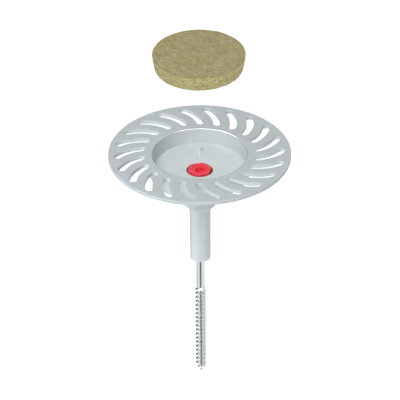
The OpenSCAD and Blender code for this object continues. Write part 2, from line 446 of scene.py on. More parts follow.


# Dark and light tones of the head's red and of the zinc, the tone of its stains, and the tone of the painted
# shade in the thread's roots
RED_TONES = ((0.78, 0.046, 0.068), (0.87, 0.055, 0.083))
ZINC_TONES = ((0.70, 0.745, 0.76), (0.83, 0.87, 0.88))
STAIN_TONE = (0.58, 0.57, 0.40)
ROOT_SHADE_TONE = (0.17, 0.17, 0.15)


def head_material():
    """Red moulded plastic, a little glossy."""
    material, tree, shader = new_material("red_plastic")
    shader.inputs["Specular IOR Level"].default_value = 0.2
    where = place(tree)
    clouds = grain(tree, where, size=3, detail=2)
    grit = grain(tree, where, size=0.3, detail=3)
    tree.links.new(two_tone(tree, clouds, *RED_TONES), shader.inputs["Base Color"])
    vary_roughness(tree, shader, grit, 0.28, 0.38)
    emboss(tree, shader, [(grit, 0.006)])
    return material


def steel_material():
    """Bright zinc plating on rolled steel: drawing lines, a mottle, olive stains, and painted shade that
    darkens it towards the axis in the thread's roots.
    """
    material, tree, shader = new_material("zinc_steel")
    shader.inputs["Metallic"].default_value = 1.0
    lines = grain(tree, place(tree, stretch=(0.12, 0.12, 1)), size=0.25, detail=3)
    mottle = grain(tree, place(tree), size=1.6, detail=3)
    zinc = two_tone(tree, mottle, *ZINC_TONES)
    stains = grain(tree, place(tree), size=1.1, detail=2)
    stained = blend_colours(tree, span(tree, stains, 0.5, 0.66, 0.0, 0.25), zinc, STAIN_TONE)
    # Painted shade: darker towards the axis, in the thread's roots and faintly on the shank
    low = span(tree, from_axis(tree), CORE_R + 0.05, CORE_R + 0.55, 1, 0)
    base = blend_colours(tree, product(tree, low, 0.15), stained, ROOT_SHADE_TONE)
    tree.links.new(base, shader.inputs["Base Color"])
    vary_roughness(tree, shader, mottle, 0.14, 0.24)
    emboss(tree, shader, [(lines, 0.006)])
    return material


# Tones of the wool as (light, middle, dark, grey)
WOOL_TOP_TONES = [(0.48, 0.42, 0.205), (0.365, 0.302, 0.118), (0.255, 0.195, 0.068), (0.42, 0.405, 0.265)]
WOOL_SIDE_TONES = [(0.76, 0.72, 0.37), (0.57, 0.52, 0.215), (0.37, 0.33, 0.11), (0.61, 0.60, 0.40)]

# Distances inside the plug's upper edge at which its painted shade starts and is full, and the shade's share
EDGE_SHADE_START = 1.6
EDGE_SHADE_FULL = 0.5
EDGE_SHADE_SHARE = 0.1


def painted_edge_shade(tree):
    """Mask of the painted shade: 1 at the edge between the plug's top and its side, and 0 a little way off.
    """
    parts = tree.nodes.new("ShaderNodeSeparateXYZ")
    tree.links.new(place(tree), parts.inputs["Vector"])
    start_z = (PLUG_TOP_Z - EDGE_SHADE_START) * MM
    full_z = (PLUG_TOP_Z - EDGE_SHADE_FULL) * MM
    high = span(tree, parts.outputs["Z"], start_z, full_z)
    outer = span(tree, from_axis(tree), PLUG_TOP_R - EDGE_SHADE_START, PLUG_TOP_R - EDGE_SHADE_FULL)
    return product(tree, high, outer)


def wool_streaks(tree, stretch, turn, size):
    """Bent streaks, drawn out by a stretch and turned by an angle."""
    straight = place(tree, stretch=stretch, turn=(0, 0, turn))
    return grain(tree, swirl(tree, straight, reach=5, size=12), size=size, detail=3, roughness=0.6)


def wool_material(name, tones, turns, stretch, size, clump_share):
    """Mineral wool: two sets of crossing streaks in straw, olive and brown, with clumps, grey flecks and
    painted shade along the plug's upper edge.
    """
    light, middle, dark, grey = tones
    material, tree, shader = new_material(name)
    shader.inputs["Roughness"].default_value = 0.95
    shader.inputs["Specular IOR Level"].default_value = 0.15
    shader.inputs["Sheen Weight"].default_value = 0.15
    one, two = [wool_streaks(tree, stretch, turn, size) for turn in turns]
    crossed = calculate(tree, "ADD", product(tree, one, 0.6), product(tree, two, 0.4))
    fine = product(tree, crossed, 1 - clump_share)
    clumps = grain(tree, place(tree), size=5, detail=3, roughness=0.5)
    tone = calculate(tree, "ADD", fine, product(tree, clumps, clump_share))
    base = ramp(tree, tone, [(0.40, dark), (0.5, middle), (0.60, light)])
    flecks = wool_streaks(tree, stretch, turns[0], 1.25 * size)
    patches = span(tree, grain(tree, place(tree), size=13, detail=1), 0.42, 0.58, 0.35, 1.4)
    greyness = product(tree, span(tree, flecks, 0.5, 0.64, 0.0, 0.6), patches)
    greyed = blend_colours(tree, greyness, base, grey)
    # Painted shade: the wool darkens towards the plug's upper edge
    edge_shaded = blend_colours(tree, product(tree, painted_edge_shade(tree), EDGE_SHADE_SHARE), greyed, dark)
    tree.links.new(edge_shaded, shader.inputs["Base Color"])
    emboss(tree, shader, [(one, 0.28), (two, 0.2)])
    return material


# Tones of single fibres from brown to straw, as colour stops
FIBRE_TONES = [
    (0.0, (0.22, 0.165, 0.06)),
    (0.5, (0.39, 0.34, 0.155)),
    (1.0, (0.56, 0.52, 0.32)),
]


def fibre_material():
    """Single mineral fibres, each in its own tone from brown to straw."""
    material, tree, shader = new_material("wool_fibres")
    shader.inputs["Roughness"].default_value = 0.7
    shader.inputs["Sheen Weight"].default_value = 0.2
    each_fibre = tree.nodes.new("ShaderNodeNewGeometry").outputs["Random Per Island"]
    specks = grain(tree, place(tree), size=1.5)
    speckled = speckle(tree, ramp(tree, each_fibre, FIBRE_TONES), specks, 0.8)
    tree.links.new(speckled, shader.inputs["Base Color"])
    return material


# Washer plate

def floor_at(r):
    """Height of the cup's floor at a radius."""
    return -CUP_DEPTH - FLOOR_FALL * (FLOOR_EDGE_R - r) / (FLOOR_EDGE_R - RECESS_R)


def shoulder_centre_z():
    """Height of the centre of the round between the hub and its shoulder."""
    run = HUB_R - SHOULDER_ROUND - SLEEVE_R
    return SLEEVE_Z + (run * math.sin(SHOULDER_SLOPE) + SHOULDER_ROUND) / math.cos(SHOULDER_SLOPE)


def body_section():
    """Section from the cup's mouth in over the floor, down the bore, and back up outside the cup."""
    neck_bore_r = NECK_D / 2 + NECK_GAP
    neck_bore_z = NECK_END_Z - NECK_END_GAP
    slope_end = math.degrees(SHOULDER_SLOPE) - 90
    return [
        *arc((CUP_R + MOUTH_ROUND, -MOUTH_ROUND), MOUTH_ROUND, 90, 180, 8),
        *arc((FLOOR_EDGE_R, -CUP_DEPTH + FLOOR_ROUND), FLOOR_ROUND, 0, -90),
        *arc((RECESS_R + RECESS_EDGE, FLOOR_Z - RECESS_EDGE), RECESS_EDGE, 90, 180, 4),
        (RECESS_R, SHOULDER_Z),
        (neck_bore_r, SHOULDER_Z),
        (neck_bore_r, neck_bore_z),
        (BORE_R, neck_bore_z),
        (BORE_R, SLEEVE_END_Z),
        *arc((SLEEVE_END_R - SLEEVE_ROUND, SLEEVE_END_Z + SLEEVE_ROUND), SLEEVE_ROUND, -90, 0),
        (SLEEVE_R, SLEEVE_Z),
        *arc((HUB_R - SHOULDER_ROUND, shoulder_centre_z()), SHOULDER_ROUND, slope_end, 0),
        *arc((HUB_R + HUB_ROUND, BASE_Z - HUB_ROUND), HUB_ROUND, 180, 90),
        *arc((CUP_OUT_R - BASE_ROUND, BASE_Z + BASE_ROUND), BASE_ROUND, -90, 0),
        *arc((CUP_OUT_R + CUP_FILLET, -PLATE_T - CUP_FILLET), CUP_FILLET, 180, 90, 4),
    ]


def slot_line():
    """Centre, radius and end angles of the arc that a slot follows, its outer end on the X axis."""
    outer = Vector((PLATE_R - SLOT_RIM - SLOT_W / 2, 0))
    inner_r = CUP_R + SLOT_RING + SLOT_W / 2
    inner = inner_r * Vector((math.cos(SLOT_TURN), -math.sin(SLOT_TURN)))
    chord = outer - inner
    bend_r = (chord.length ** 2 / 4 + SLOT_BOW ** 2) / (2 * SLOT_BOW)
    half = math.asin(chord.length / 2 / bend_r)
    heading = math.atan2(chord.y, chord.x)
    to_centre = Vector((-math.sin(heading), math.cos(heading)))
    centre = (outer + inner) / 2 + (bend_r - SLOT_BOW) * to_centre
    middle = heading - math.pi / 2
    return centre, bend_r, middle - half, middle + half


def slot_outline(turn, half_w, side_n=14, end_n=12):
    """Closed outline of a slot, turned to its place, with half its width."""
    centre, bend_r, first, last = slot_line()
    points = []

    def along(radius, start, end, steps, about):
        for i in range(steps):
            a = start + (end - start) * i / steps
            points.append(about + radius * Vector((math.cos(a), math.sin(a))))

    outer_end = centre + bend_r * Vector((math.cos(last), math.sin(last)))
    inner_end = centre + bend_r * Vector((math.cos(first), math.sin(first)))
    along(bend_r + half_w, first, last, side_n, centre)
    along(half_w, last, last + math.pi, end_n, outer_end)
    along(bend_r - half_w, last, first, side_n, centre)
    along(half_w, first + math.pi, first + 2 * math.pi, end_n, inner_end)
    rotation = Matrix.Rotation(turn, 2)
    return [rotation @ p for p in points]


def slot_turns():
    """Angles of the slots round the plate."""
    return [SLOT_START + i * 2 * math.pi / SLOT_N for i in range(SLOT_N)]


# Settings of the triangulation: triangles inside the outlines only, and the distance of equal points
INSIDE_ONLY = 1
CLOSE_POINTS = 1e-5


def add_sheet(bm, inner_r, z):
    """The flange's flat face between the cup and the rim, with the slots left out."""
    loops = [[Vector(p[:2]) for p in ring(r, z)] for r in (PLATE_R - RIM_ROUND, inner_r)]
    loops += [slot_outline(turn, SLOT_W / 2 + EDGE_ROUND) for turn in slot_turns()]
    points = []
    outlines = []
    for loop in loops:
        outlines.append(range(len(points), len(points) + len(loop)))
        points += loop
    made, _, faces, _, _, owners = delaunay_2d_cdt(points, [], outlines, INSIDE_ONLY, CLOSE_POINTS)
    verts = [bm.verts.new((p.x, p.y, z)) for p in made]
    # A triangle that lies in the rim's outline alone is in neither the cup nor a slot
    for face, owner in zip(faces, owners):
        if owner == [0]:
            bm.faces.new([verts[i] for i in face])


def add_slot_walls(bm):
    """The walls of the slots, with small rounds at both faces of the flange."""
    top = arc((EDGE_ROUND, -EDGE_ROUND), EDGE_ROUND, 90, 180, 3)
    bottom = arc((EDGE_ROUND, -PLATE_T + EDGE_ROUND), EDGE_ROUND, 180, 270, 3)
    for turn in slot_turns():
        add_rings(bm, [
            [(p.x, p.y, z) for p in slot_outline(turn, SLOT_W / 2 + out)]
            for out, z in top + bottom
        ])


def add_rim(bm):
    """The plate's outer edge."""
    r = PLATE_R - RIM_ROUND
    add_lathe(bm, [
        *arc((r, -RIM_ROUND), RIM_ROUND, 90, 0),
        *arc((r, -PLATE_T + RIM_ROUND), RIM_ROUND, 0, -90),
    ])


def barb_mesh(angle):
    """A barb on the cup's floor: a low nose ridge that turns up to a point, with soft edges."""
    half_w = BARB_W / 2
    turn_r = BARB_TIP_R - BARB_TURN
    points = [
        (BARB_NOSE_R, 0, 0),
        (BARB_BACK_R, -half_w, 0),
        (BARB_BACK_R, half_w, 0),
        (turn_r, 0, BARB_NOSE_H),
        (BARB_TIP_R, 0, BARB_H),
        (BARB_NOSE_R, 0, -BARB_SINK),
        (BARB_BACK_R, -half_w, -BARB_SINK),
        (BARB_BACK_R, half_w, -BARB_SINK),
    ]
    raised_faces = [(0, 3, 1), (3, 4, 1), (0, 2, 3), (3, 2, 4), (1, 4, 2)]
    sunk_faces = [(0, 1, 6, 5), (1, 2, 7, 6), (2, 0, 5, 7), (5, 6, 7)]
    bm = bmesh.new()
    verts = [bm.verts.new((x, y, floor_at(x) + h)) for x, y, h in points]
    for face in raised_faces + sunk_faces:
        bm.faces.new([verts[i] for i in face])
    upper = set(verts[:5])
    soft = [edge for edge in bm.edges if upper.issuperset(edge.verts)]
    bmesh.ops.bevel(bm, geom=soft, offset=BARB_BEVEL, segments=3, affect="EDGES", profile=0.5)
    bmesh.ops.rotate(bm, cent=(0, 0, 0), matrix=Matrix.Rotation(angle, 3, "Z"), verts=bm.verts)
    # The barbs take the paler tone that paints light on their faces
    for face in bm.faces:
        face.material_index = BARB_PAINTED_LIGHT
    return bm


# Materials of the plate in the order of its slots
GRAINED_PAINTED_SHADE, SMOOTH, POLISHED, BARB_PAINTED_LIGHT = range(4)


def plate_finish(face):
    """Grained flat faces and rim in a darker tone that paints shade, a polished mouth, barbs in a paler tone
    that paints light on them, and smooth walls elsewhere.
    """
    if face.material_index == BARB_PAINTED_LIGHT:
        return BARB_PAINTED_LIGHT
    middle = face.calc_center_median()
    radius = math.hypot(middle.x, middle.y)
    if radius < CUP_R + MOUTH_ROUND:
        return POLISHED if radius > CUP_R and middle.z > -MOUTH_ROUND else SMOOTH
    level = min(abs(middle.z), abs(middle.z + PLATE_T)) < EDGE_ROUND / 2
    return GRAINED_PAINTED_SHADE if level or radius > PLATE_R - RIM_ROUND else SMOOTH


def add_barb(bm, angle):
    """Puts a barb at its angle into the plate's mesh."""
    barb = barb_mesh(angle)
    mesh = bpy.data.meshes.new("barb")
    barb.to_mesh(mesh)
    barb.free()
    bm.from_mesh(mesh)
    bpy.data.meshes.remove(mesh)


def washer_plate(materials):
    """The grey moulding: flange with slots, cup with barbs, hub and sleeve."""
    bm = bmesh.new()
    add_lathe(bm, body_section())
    add_rim(bm)
    add_slot_walls(bm)
    add_sheet(bm, CUP_R + MOUTH_ROUND, 0.0)
    add_sheet(bm, CUP_OUT_R + CUP_FILLET, -PLATE_T)
    for angle in BARB_ANGLES:
        add_barb(bm, angle)
    for face in bm.faces:
        face.material_index = plate_finish(face)
    obj = finish_mesh(bm, "pressure_plate", materials)
    weigh_normals(obj)
    attach(obj, "washer_plate", "plate")


# Drive head

def hexagon_radius(flats, corner_round, turn):
    """Radius of a rounded hexagon against the angle, with a corner at turn."""
    flat_r = flats / 2
    corner_at = (flat_r - corner_round) / math.cos(math.pi / 6)
    reach = math.atan((flat_r - corner_round) * math.tan(math.pi / 6) / flat_r)

    def radius(a):
        from_flat = (a - turn) % (math.pi / 3) - math.pi / 6
        if abs(from_flat) <= reach:
            return flat_r / math.cos(from_flat)
        off = math.pi / 6 - abs(from_flat)
        side = corner_at * math.sin(off)
        return corner_at * math.cos(off) + math.sqrt(max(corner_round ** 2 - side ** 2, 0))

    return radius


def steel_hexagon():
    """Outline of the steel head that the red head is moulded on."""
    return hexagon_radius(STEEL_AF, STEEL_CORNER, HEAD_TURN)


def socket_radius(grow=0.0):
    """Radius of the six-lobe socket against the angle."""
    lobe_r = LOBE_D / 2
    lobe_at = SOCKET_D / 2 - lobe_r
    core_r = SOCKET_CORE_D / 2

    def radius(a):
        off = (a + math.pi / LOBE_N) % (2 * math.pi / LOBE_N) - math.pi / LOBE_N
        side = abs(lobe_at * math.sin(off))
        if side >= lobe_r:
            return core_r + grow
        return max(core_r, lobe_at * math.cos(off) + math.sqrt(lobe_r ** 2 - side ** 2)) + grow

    return radius


def outer_rings():
    """Rings of the red head from the shank's hole, up the neck and the hexagon, to the top's edge."""
    rings = [
        ring(SHANK_R, STEEL_BASE_Z),
        ring(SHANK_R, NECK_END_Z),
        ring(NECK_D / 2 - HEAD_LIP, NECK_END_Z),
        ring(NECK_D / 2, NECK_END_Z + HEAD_LIP),
        ring(NECK_D / 2, SHOULDER_Z),
        ring(hexagon_radius(HEAD_AF, HEAD_CORNER, HEAD_TURN), SHOULDER_Z),
    ]
    for inset, z in arc((HEAD_EDGE, HEAD_Z - HEAD_EDGE), HEAD_EDGE, 180, 90, 6):
        rings.append(ring(hexagon_radius(HEAD_AF - 2 * inset, HEAD_CORNER, HEAD_TURN), z))
    return rings


def socket_rings():
    """Rings of the red head over the round dish in its top and down the six-lobe socket."""
    dish_r = DISH_D / 2
    dish_z = HEAD_Z - DISH_DEPTH
    rings = [ring(r, z) for r, z in arc((dish_r + HEAD_LIP, HEAD_Z - HEAD_LIP), HEAD_LIP, 90, 180, 3)]
    rings += [
        ring(dish_r, dish_z + 2 * HEAD_LIP),
        ring(dish_r - HEAD_LIP, dish_z + HEAD_LIP / 2),
        ring(dish_r - 3 * HEAD_LIP, dish_z),
    ]
    rings += [ring(socket_radius(r), z) for r, z in arc((HEAD_LIP, dish_z - HEAD_LIP), HEAD_LIP, 90, 180, 3)]
    rings += [ring(socket_radius(), SOCKET_Z), ring(SOCKET_CORE_D / 4, SOCKET_Z - HEAD_LIP)]
    return rings


def drive_head(material):
    """The red head, with room in it for the steel one."""
    steel = steel_hexagon()
    bm = bmesh.new()
    add_rings(bm, outer_rings() + socket_rings(), cap_end=True)
    add_rings(bm, [
        ring(SHANK_R, STEEL_BASE_Z),
        ring(steel, STEEL_BASE_Z),
        ring(steel, STEEL_Z),
    ], cap_end=True)
    obj = finish_mesh(bm, "red_drive_head", [material])
    weigh_normals(obj)
    attach(obj, "drive_head", "screw")


# Screw

# Outline of the thread over one pitch, as (share of the pitch, share of the height)
RIDGE_END = 0.37
THREAD_OUTLINE = [
    (0.0, 0.0), (0.07, 0.36), (0.11, 0.68), (0.145, 0.93), (0.165, 1.0), (0.205, 1.0),
    (0.225, 0.93), (0.26, 0.68), (0.30, 0.36), (RIDGE_END, 0.0), (0.58, 0.0), (0.79, 0.0),
]


def thread_end():
    """Depth at which the ridge has faded, a whole number of turns from its start."""
    turns = math.floor((THREAD_LEN - THREAD_TOP - POINT_BARE) / PITCH)
    return THREAD_TOP + PITCH * (turns + RIDGE_END)


def core_at(depth):
    """Radius of the core at a depth under the shank."""
    if depth < RUN_IN:
        return SHANK_R + (CORE_R - SHANK_R) * depth / RUN_IN
    if depth > THREAD_LEN - POINT_LEN:
        return TIP_R + (CORE_R - TIP_R) * (THREAD_LEN - depth) / POINT_LEN
    return CORE_R


def thread_height(depth):
    """Height of the ridge at a depth: it rises at the shank and fades at the point."""
    rise = (depth - THREAD_TOP) / RUN_IN
    fade = (thread_end() - depth) / RUN_OUT
    return (THREAD_R - CORE_R) * max(0.0, min(1.0, rise, fade))


def add_thread(bm):
    """The threaded end as one grid whose rows follow the right-handed helix."""
    turns = math.ceil(THREAD_LEN / PITCH) + 2
    rows = [(turn + share, height) for turn in range(-2, turns) for share, height in THREAD_OUTLINE]
    count = len(THREAD_OUTLINE)
    grid = []
    for i in range(THREAD_N):
        a = -2 * math.pi * i / THREAD_N
        column = []
        for share, height in rows:
            depth = min(max(THREAD_TOP + PITCH * (share + i / THREAD_N), 0.0), THREAD_LEN)
            r = core_at(depth) + height * thread_height(depth)
            column.append(bm.verts.new((r * math.cos(a), r * math.sin(a), THREAD_Z - depth)))
        grid.append(column)
    for i in range(THREAD_N):
        shift = count if i == THREAD_N - 1 else 0
        after = grid[(i + 1) % THREAD_N]
        for j in range(len(rows) - 1 - shift):
            corners = (grid[i][j], grid[i][j + 1], after[j + 1 + shift], after[j + shift])
            bm.faces.new(corners)


def screw(material):
    """The steel screw: its hidden hexagonal head, the shank, the thread and the point."""
    steel = steel_hexagon()
    bm = bmesh.new()
    add_rings(bm, [
        ring(steel, STEEL_Z, THREAD_N),
        ring(steel, STEEL_BASE_Z, THREAD_N),
        ring(SHANK_R, STEEL_BASE_Z, THREAD_N),
        ring(SHANK_R, SLEEVE_END_Z, THREAD_N),
        ring(SHANK_R, THREAD_Z, THREAD_N),
    ], cap_start=True)
    add_thread(bm)
    add_rings(bm, [ring(TIP_R, TIP_Z, THREAD_N), ring(TIP_R / 2, TIP_Z, THREAD_N)], cap_end=True)
    obj = finish_mesh(bm, "zinc_screw", [material], sharp=50)
    attach(obj, "screw", "screw")


# Plug

# Counts of rings over the plug's top, side and underside, close enough for the pits
TOP_RINGS = 95
SIDE_RINGS = 26
UNDER_RINGS = 80

# Mean depth of the wool's surface under the plug's outline, and how deep its streaks and pits are
WOOL_SINK = 0.16
STREAK_DEPTH = 0.13
PIT_DEPTH = 0.08

# How often the streaks repeat along, across and down the wool in a millimetre, and the pits, which take
# their noise from another place
STREAK_ALONG = 0.22
STREAK_ACROSS = 1.3
STREAK_DOWN = 0.9
PIT_RATE = 0.5
PIT_PLACE = 40

# Height of the bands at the top and the underside that have the look of the cut faces
CUT_BAND = 0.4


def spread(start, end, count):
    """Even steps from a value to another, both included."""
    return [start + (end - start) * i / (count - 1) for i in range(count)]


def plug_section():
    """Section of the plug from its top's centre to its bottom's centre, as (radius, height)."""
    top_r = PLUG_TOP_R
    end_r = top_r - PLUG_T * math.tan(PLUG_DRAFT)
    side_top_z = PLUG_TOP_Z - PLUG_ROUND
    side_h = PLUG_T - 2 * PLUG_ROUND
    section = [(r, PLUG_TOP_Z) for r in spread(PLUG_MIDDLE_R, top_r - PLUG_ROUND, TOP_RINGS)]
    section += arc((top_r - PLUG_ROUND, PLUG_TOP_Z - PLUG_ROUND), PLUG_ROUND, 90, 0, 4)[1:]
    section += [
        (top_r + (end_r - top_r) * i / SIDE_RINGS, side_top_z - side_h * i / SIDE_RINGS)
        for i in range(1, SIDE_RINGS)
    ]
    section += arc((end_r - PLUG_ROUND, PLUG_BOTTOM_Z + PLUG_ROUND), PLUG_ROUND, 0, -90, 4)
    section += [(r, PLUG_BOTTOM_Z) for r in spread(end_r - PLUG_ROUND, PLUG_MIDDLE_R, UNDER_RINGS)[1:]]
    return section


def wool_depth(point):
    """Depth of the pits between the fibres at a point, up to about 0.4 mm."""
    x = point.x * math.cos(FIBRE_TURN) + point.y * math.sin(FIBRE_TURN)
    y = -point.x * math.sin(FIBRE_TURN) + point.y * math.cos(FIBRE_TURN)
    streak_at = Vector((x * STREAK_ALONG, y * STREAK_ACROSS, point.z * STREAK_DOWN))
    pit_at = Vector((point.x * PIT_RATE, point.y * PIT_RATE, point.z * PIT_RATE + PIT_PLACE))
    streak = max(-1.0, min(1.0, noise.fractal(streak_at, 0.7, 2.0, 4)))
    return WOOL_SINK + STREAK_DEPTH * streak + PIT_DEPTH * noise.noise(pit_at)


def over_a_barb(point):
    """Whether a point of the plug's underside lies over a barb, where the wool parts."""
    for angle in BARB_ANGLES:
        r = point.x * math.cos(angle) + point.y * math.sin(angle)
        side = -point.x * math.sin(angle) + point.y * math.cos(angle)
        in_length = BARB_TIP_R - 2 * BARB_TURN <= r <= BARB_BACK_R + POCKET_SPREAD
        if in_length and abs(side) <= BARB_W / 2 + POCKET_SPREAD:
            return True
    return False


def roughen(bm):
    """Sinks the wool's surface between its fibres, and opens the pockets over the barbs."""
    pocket_z = PLUG_TOP_Z + floor_at(BARB_TIP_R) + BARB_H + POCKET_GAP
    for vert in bm.verts:
        underside = vert.co.z < PLUG_BOTTOM_Z + PLUG_ROUND / 2
        if underside and over_a_barb(vert.co):
            vert.co.z = pocket_z
        else:
            vert.co -= vert.normal * wool_depth(vert.co)


def wool_plug(top, side):
    """The plug, with its cut faces and its side in materials of their own."""
    bm = bmesh.new()
    rings = [ring(r, z, PLUG_N) for r, z in plug_section()]
    add_rings(bm, rings, cap_start=True, cap_end=True)
    bmesh.ops.recalc_face_normals(bm, faces=bm.faces)
    bm.normal_update()
    roughen(bm)
    middle_z = (PLUG_TOP_Z + PLUG_BOTTOM_Z) / 2
    for face in bm.faces:
        cut = abs(face.calc_center_median().z - middle_z) > PLUG_T / 2 - CUT_BAND
        face.material_index = 0 if cut else 1
    obj = finish_mesh(bm, "mineral_wool_plug", [top, side], sharp=70)
    attach(obj, "wool_plug", "plug")


# Fibres on the plug's top: their count, the points and steps of a line, the spread of its heading and of
# its bend, its lift over the wool, and how far inside the plug's edge it starts and stays
TOP_FIBRES = 2600
TOP_POINTS = 6
TOP_STEP = 0.9
TOP_SPREAD = 0.45
TOP_BEND = 0.12
TOP_LIFT = (-0.12, 0.1)
TOP_START_IN = 1.2
TOP_STAY_IN = 0.5

# Fibres on the plug's side, with how far inside the side's ends a line starts and stays
SIDE_FIBRES = 1300
SIDE_POINTS = 5
SIDE_STEP = 0.85
SIDE_SPREAD = 0.35
SIDE_LIFT = (-0.25, 0.05)
SIDE_START_IN = 0.6
SIDE_STAY_UNDER = 0.5
SIDE_STAY_OVER = 0.4

# Radii of the fibres, and the share of the radius at their ends
FIBRE_R = (0.05, 0.15)
FIBRE_END_SHARE = 0.35


def add_fibre(bm, line, radius):
    """A fibre as a three-sided thread along a line of points, thin at both ends."""
    loops = []
    for i, point in enumerate(line):
        ahead = line[min(i + 1, len(line) - 1)] - line[max(i - 1, 0)]
        one = ahead.orthogonal().normalized()
        two = ahead.normalized().cross(one)
        thick = radius * (FIBRE_END_SHARE if i in (0, len(line) - 1) else 1.0)
        loops.append([
            bm.verts.new(point + thick * (math.cos(a) * one + math.sin(a) * two))
            for a in (0, 2 * math.pi / 3, 4 * math.pi / 3)
        ])
    for one, two in zip(loops, loops[1:]):
        for i in range(3):
            bm.faces.new((one[i], one[(i + 1) % 3], two[(i + 1) % 3], two[i]))
    bm.faces.new(loops[0])
    bm.faces.new(loops[-1][::-1])


def top_fibre():
    """A line for a fibre that lies on the plug's top, mostly along the wool's streaks."""
    r = (PLUG_TOP_R - TOP_START_IN) * math.sqrt(random.random())
    a = random.uniform(0, 2 * math.pi)
    heading = random.gauss(FIBRE_TURN, TOP_SPREAD)
    bend = random.gauss(0, TOP_BEND)
    point = Vector((r * math.cos(a), r * math.sin(a), 0))
    line = []
    for _ in range(TOP_POINTS):
        lift = random.uniform(*TOP_LIFT)
        depth = wool_depth(Vector((point.x, point.y, PLUG_TOP_Z)))
        line.append(Vector((point.x, point.y, PLUG_TOP_Z - depth + lift)))
        step = TOP_STEP * Vector((math.cos(heading), math.sin(heading), 0))
        if (point + step).length > PLUG_TOP_R - TOP_STAY_IN:
            break
        point += step
        heading += bend
    return line


def side_fibre():
    """A line for a fibre that lies on the plug's side, at a drop below its top."""
    a = random.uniform(0, 2 * math.pi)
    drop = random.uniform(SIDE_START_IN, PLUG_T - SIDE_START_IN)
    climb = random.gauss(0, SIDE_SPREAD)
    line = []
    for _ in range(SIDE_POINTS):
        if not SIDE_STAY_UNDER < drop < PLUG_T - SIDE_STAY_OVER:
            break
        r = PLUG_TOP_R - drop * math.tan(PLUG_DRAFT) + random.uniform(*SIDE_LIFT)
        line.append(Vector((r * math.cos(a), r * math.sin(a), PLUG_TOP_Z - drop)))
        a += SIDE_STEP * math.cos(climb) / PLUG_TOP_R
        drop += SIDE_STEP * math.sin(climb)
    return line


def plug_fibres(material):
    """Loose fibres on the plug's top and side, as a piece of its own."""
    bm = bmesh.new()
    for make, count in ((top_fibre, TOP_FIBRES), (side_fibre, SIDE_FIBRES)):
        for _ in range(count):
            line = make()
            radius = random.uniform(*FIBRE_R)
            if len(line) > 2:
                add_fibre(bm, line, radius)
    obj = finish_mesh(bm, "wool_fibres", [material], sharp=180, weld=0.0001)
    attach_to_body(obj, "plug")


# Studio

# View of the photograph. Its width is in millimetres, at 0.6014 mm per pixel.
VIEW_W = 400 * 0.6014
VIEW_ELEVATION = math.radians(32.4)
VIEW_ROLL = math.radians(0.45)
VIEW_CENTRE = Vector((0.0, 0, -33.1)) * MM

# Distances in the studio in metres, and the shares of white of the floor and of its glow for the camera
CAMERA_AWAY = 10.0
FLOOR_BELOW = 0.6
FLOOR_HALF = 40.0
FLOOR_WHITE = 0.82
FLOOR_GLOW = 0.8

# Strength and tint of the world's soft light on the object
WORLD_LEVEL = 0.15
WORLD_TINT = (0.92, 1.0, 1.02)


def add_camera():
    """A long lens at the photograph's elevation and roll, aimed at its centre."""
    data = bpy.data.cameras.new("camera")
    data.sensor_width = 36.0
    data.lens = data.sensor_width * CAMERA_AWAY / (VIEW_W * MM)
    data.clip_start = 0.1
    data.clip_end = 30.0
    camera = bpy.data.objects.new("camera", data)
    back = Vector((0, -math.cos(VIEW_ELEVATION), math.sin(VIEW_ELEVATION)))
    camera.location = VIEW_CENTRE + back * CAMERA_AWAY
    level = (-back).to_track_quat("-Z", "Y").to_matrix()
    camera.rotation_euler = (level @ Matrix.Rotation(-VIEW_ROLL, 3, "Z")).to_euler()
    bpy.context.scene.collection.objects.link(camera)
    bpy.context.scene.camera = camera


def towards(azimuth, elevation):
    """Unit vector to a place in the studio. Azimuth 0 is the viewer's side and 90 the right."""
    a = math.radians(azimuth)
    e = math.radians(elevation)
    return Vector((math.sin(a) * math.cos(e), -math.cos(a) * math.cos(e), math.sin(e)))


def add_lamp(name, azimuth, elevation, away, size, power):
    """A soft square lamp aimed at the plate's centre."""
    data = bpy.data.lights.new(name, "AREA")
    data.size = size
    data.energy = power
    lamp = bpy.data.objects.new(name, data)
    back = towards(azimuth, elevation)
    lamp.location = back * away
    lamp.rotation_euler = (-back).to_track_quat("-Z", "Y").to_euler()
    bpy.context.scene.collection.objects.link(lamp)
    return lamp


def seen_directly(tree):
    """1 for rays that show the background: from the camera, off gloss or through glass."""
    outputs = tree.nodes.new("ShaderNodeLightPath").outputs
    return largest(tree, outputs["Is Camera Ray"], outputs["Is Glossy Ray"], outputs["Is Transmission Ray"])


def add_floor():
    """A white floor well below the point. It lets gloss see the studio round it."""
    mesh = bpy.data.meshes.new("floor")
    corners = [(x * FLOOR_HALF, y * FLOOR_HALF, 0) for x, y in ((-1, -1), (1, -1), (1, 1), (-1, 1))]
    mesh.from_pydata(corners, [], [(0, 1, 2, 3)])
    floor = bpy.data.objects.new("floor", mesh)
    floor.location.z = TIP_Z * MM - FLOOR_BELOW
    bpy.context.scene.collection.objects.link(floor)
    material, tree, shader = new_material("floor_white")
    shader.inputs["Base Color"].default_value = (FLOOR_WHITE, FLOOR_WHITE, FLOOR_WHITE, 1)
    shader.inputs["Roughness"].default_value = 0.9
    shader.inputs["Specular IOR Level"].default_value = 0.0
    shader.inputs["Emission Color"].default_value = (1, 1, 1, 1)
    path = tree.nodes.new("ShaderNodeLightPath")
    glow = span(tree, path.outputs["Is Camera Ray"], 0, 1, 0, FLOOR_GLOW)
    tree.links.new(glow, shader.inputs["Emission Strength"])
    mesh.materials.append(material)
    floor.visible_glossy = False


# Soft boxes that only gloss sees, as (azimuth, elevation, strength). They light the round of the cup's mouth.
GLOSS_BOXES = [
    (-18, 43, 6.5),
    (-75, 43, 5.5),
    (32, 43, 5),
]

# Cosines of the angles off a box's middle at which it is full and at which it ends
BOX_INNER = math.cos(math.radians(15))
BOX_OUTER = math.cos(math.radians(27))


